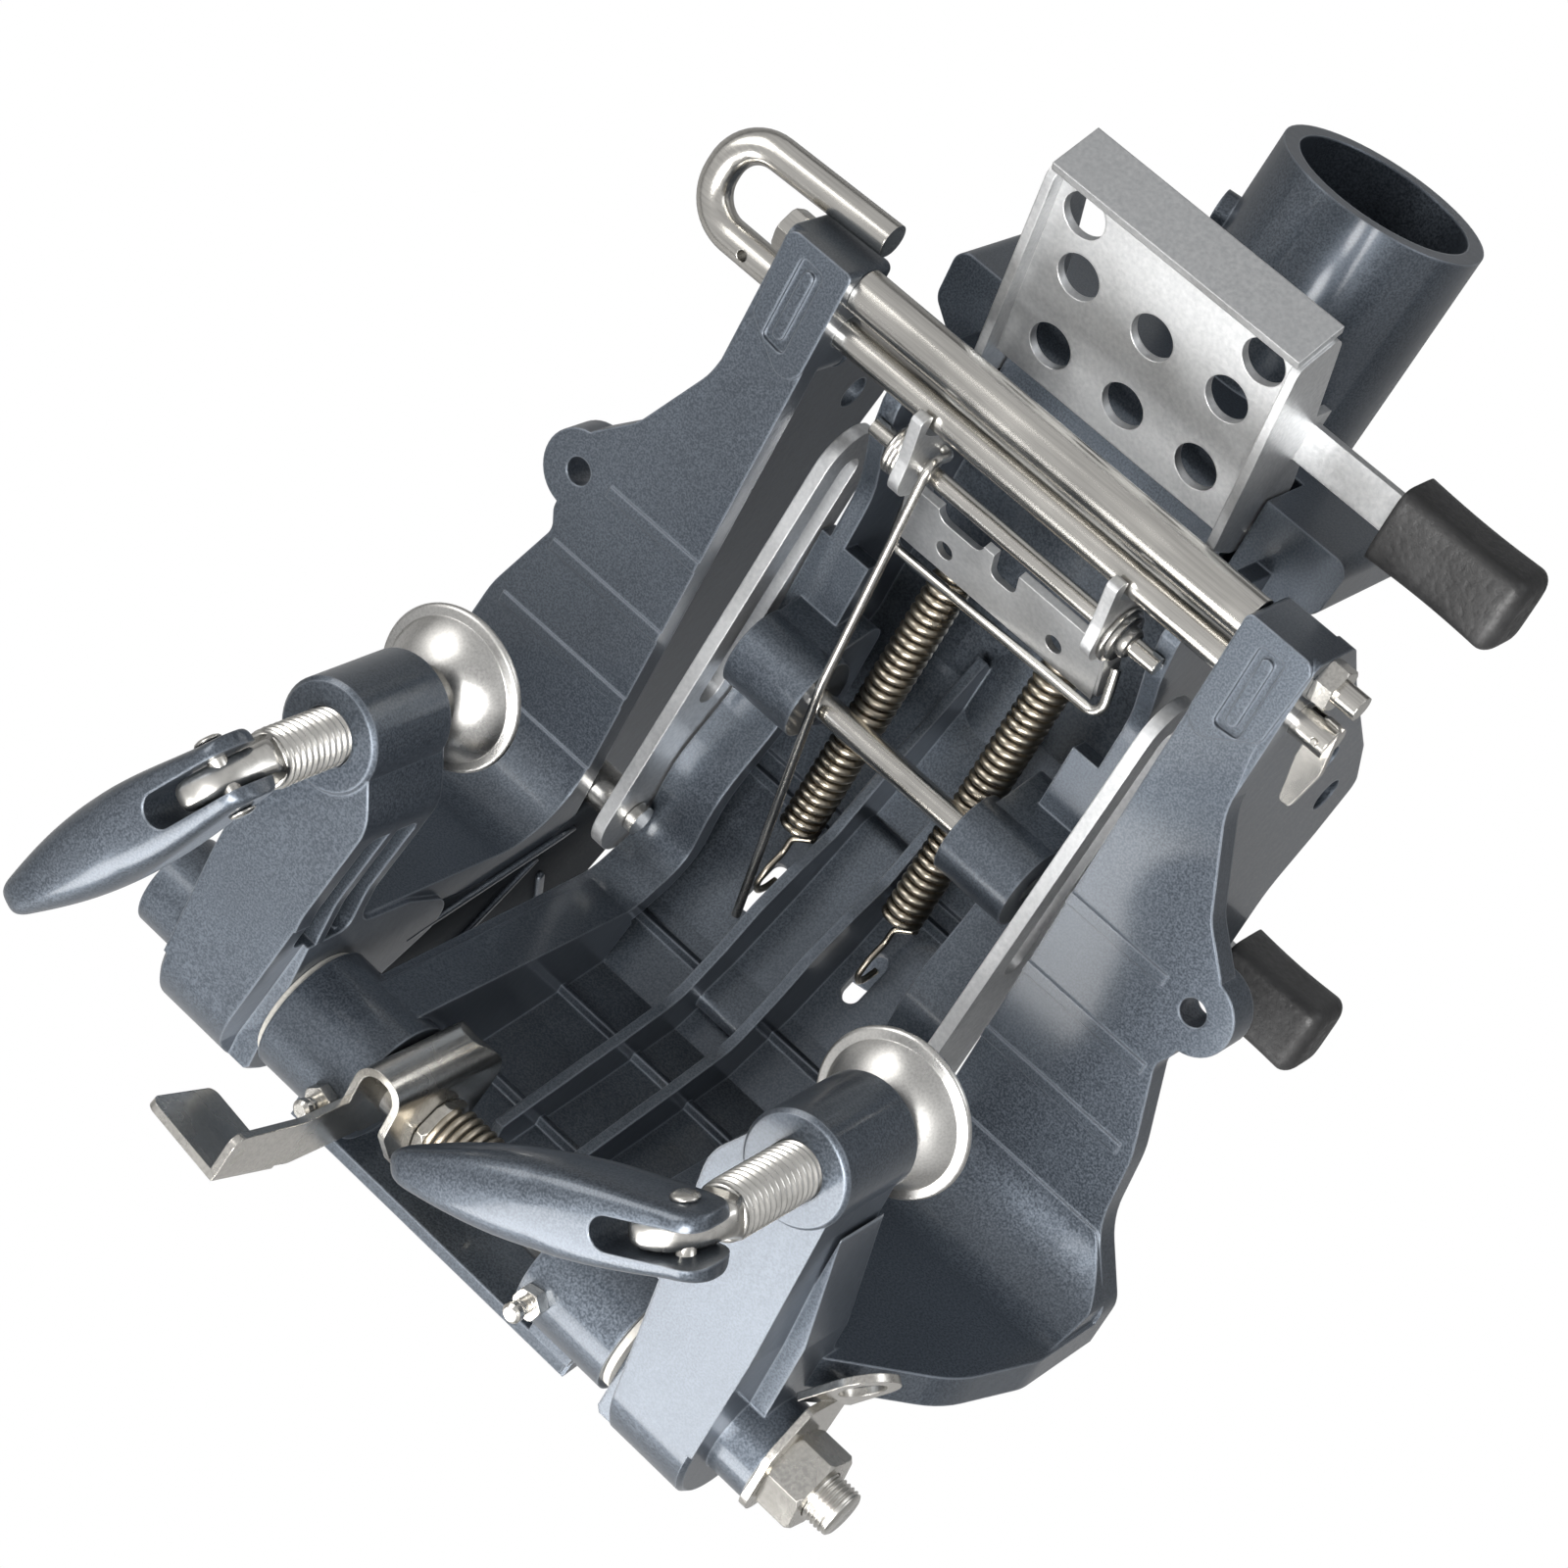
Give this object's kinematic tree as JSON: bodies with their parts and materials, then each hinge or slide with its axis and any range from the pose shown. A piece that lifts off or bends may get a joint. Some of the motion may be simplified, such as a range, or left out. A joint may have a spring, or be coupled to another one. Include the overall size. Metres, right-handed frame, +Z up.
{
  "type": "outboard motor clamp and swivel bracket",
  "caption": "Clamp and swivel bracket that carries an outboard motor on a transom, with clamp screws, tilt axis, tilt pin, reverse lock and steering tube.",
  "frame": {"origin": "on the face that bears on the transom, midway between the two transom bolt holes", "axes": "+X across the boat to port, along the tilt axis; +Y aft; +Z up"},
  "size_m": [0.306, 0.3746, 0.3426],
  "materials": {
    "casting_paint": "semi-gloss",
    "stainless_steel": "satin",
    "zinc_sheet": "zinc plated",
    "spring_steel": "satin",
    "grip_rubber": "matt",
    "bush_bronze": "machined",
    "washer_plastic": "matt"
  },
  "bodies": {
    "mount": {"clamp_bracket_port": "casting_paint", "clamp_bracket_starboard": "casting_paint", "tilt_bolt": "stainless_steel", "tilt_bolt_nut": "stainless_steel", "safety_rope_plate": "stainless_steel", "pivot_washers": "washer_plastic", "stay_tube": "stainless_steel", "stay_bolt": "stainless_steel", "stay_bolt_nut": "stainless_steel", "tilt_pin": "stainless_steel", "latch_rivet": "stainless_steel", "arm_pivot_bolts": "stainless_steel"},
    "swivel": {"swivel_bracket": "casting_paint", "tilt_bushes": "bush_bronze", "grease_nipples": "stainless_steel", "cross_shaft": "stainless_steel", "lock_shaft": "stainless_steel", "tray_pivot_pin": "stainless_steel", "side_lever_rivet": "stainless_steel", "lever_spring": "stainless_steel", "lever_spacer": "stainless_steel"},
    "port_arm": {"slotted_arm_port": "zinc_sheet"},
    "starboard_arm": {"slotted_arm_starboard": "zinc_sheet"},
    "lock": {"lock_arm": "zinc_sheet", "lock_washers": "stainless_steel", "lock_bail": "stainless_steel", "lock_spring_port": "spring_steel", "lock_spring_starboard": "spring_steel"},
    "rod": {"release_rod": "stainless_steel"},
    "lever": {"release_lever": "stainless_steel"},
    "tray": {"tilt_support_tray": "zinc_sheet", "tray_grip": "grip_rubber"},
    "side_grip": {"side_lever": "zinc_sheet", "side_lever_grip": "grip_rubber"},
    "latch": {"tilt_pin_latch": "stainless_steel"},
    "port_pad": {"clamp_pad_port": "stainless_steel"},
    "port_screw": {"clamp_screw_port": "stainless_steel", "handle_pin_port": "stainless_steel"},
    "port_handle": {"clamp_handle_port": "casting_paint"},
    "starboard_pad": {"clamp_pad_starboard": "stainless_steel"},
    "starboard_screw": {"clamp_screw_starboard": "stainless_steel", "handle_pin_starboard": "stainless_steel"},
    "starboard_handle": {"clamp_handle_starboard": "casting_paint"}
  },
  "joints": [
    {"name": "tilt", "type": "hinge", "parent": "mount", "child": "swivel", "pos_m": [0, -0.104, 0.136], "axis": [1, 0, 0], "range_deg": [0, 64]},
    {"name": "port_arm_swing", "type": "hinge", "parent": "mount", "child": "port_arm", "pos_m": [0.064, 0.0165, 0.093], "axis": [1, 0, 0], "range_deg": [0, 148]},
    {"name": "starboard_arm_swing", "type": "hinge", "parent": "mount", "child": "starboard_arm", "pos_m": [-0.064, 0.0165, 0.093], "axis": [1, 0, 0], "range_deg": [0, 148]},
    {"name": "lock_release", "type": "hinge", "parent": "swivel", "child": "lock", "pos_m": [0, 0.02, -0.068], "axis": [-1, 0, 0], "range_deg": [0, 12], "deforming": ["lock_spring_port", "lock_spring_starboard"]},
    {"name": "rod_travel", "type": "slide", "parent": "swivel", "child": "rod", "axis": [0, 0, 1], "range_m": [0, 0.0018]},
    {"name": "lever_press", "type": "hinge", "parent": "swivel", "child": "lever", "pos_m": [0, -0.104, 0.136], "axis": [1, 0, 0], "range_deg": [0, 12]},
    {"name": "tray_swing", "type": "hinge", "parent": "swivel", "child": "tray", "pos_m": [0, 0.066, -0.097], "axis": [1, 0, 0], "range_deg": [-24, 10]},
    {"name": "side_lever_swing", "type": "hinge", "parent": "swivel", "child": "side_grip", "pos_m": [-0.06, 0.082, 0], "axis": [-1, 0, 0], "range_deg": [0, 12]},
    {"name": "latch_fold", "type": "hinge", "parent": "mount", "child": "latch", "pos_m": [-0.1095, 0.01368, -0.0891], "axis": [0, -1, 0], "range_deg": [0, 80]},
    {"name": "port_clamp", "type": "slide", "parent": "mount", "child": "port_pad", "axis": [0, 1, 0], "range_m": [-0.006, 0.03]},
    {"name": "port_screw_turn", "type": "hinge", "parent": "port_pad", "child": "port_screw", "pos_m": [0.092, -0.1, 0.034], "axis": [0, -1, 0], "range_deg": [-865, 4321]},
    {"name": "port_handle_fold", "type": "hinge", "parent": "port_screw", "child": "port_handle", "pos_m": [0.092, -0.176, 0.034], "axis": [0.8949, 0, -0.4462], "range_deg": [0, 80]},
    {"name": "starboard_clamp", "type": "slide", "parent": "mount", "child": "starboard_pad", "axis": [0, 1, 0], "range_m": [-0.001, 0.035]},
    {"name": "starboard_screw_turn", "type": "hinge", "parent": "starboard_pad", "child": "starboard_screw", "pos_m": [-0.092, -0.1, 0.034], "axis": [0, -1, 0], "range_deg": [-145, 5041]},
    {"name": "starboard_handle_fold", "type": "hinge", "parent": "starboard_screw", "child": "starboard_handle", "pos_m": [-0.092, -0.183, 0.034], "axis": [0.5, 0, -0.866], "range_deg": [0, 80]}
  ],
  "couplings": [
    {"joint": "port_arm_swing", "follows": "tilt", "ratio": 2.28},
    {"joint": "starboard_arm_swing", "follows": "tilt", "ratio": 2.28},
    {"joint": "rod_travel", "follows": "lock_release", "m_per_rad": 0.0075},
    {"joint": "lever_press", "follows": "lock_release", "ratio": 1},
    {"joint": "port_screw_turn", "follows": "port_clamp", "rad_per_m": 2513.3},
    {"joint": "starboard_screw_turn", "follows": "starboard_clamp", "rad_per_m": 2513.3}
  ]
}
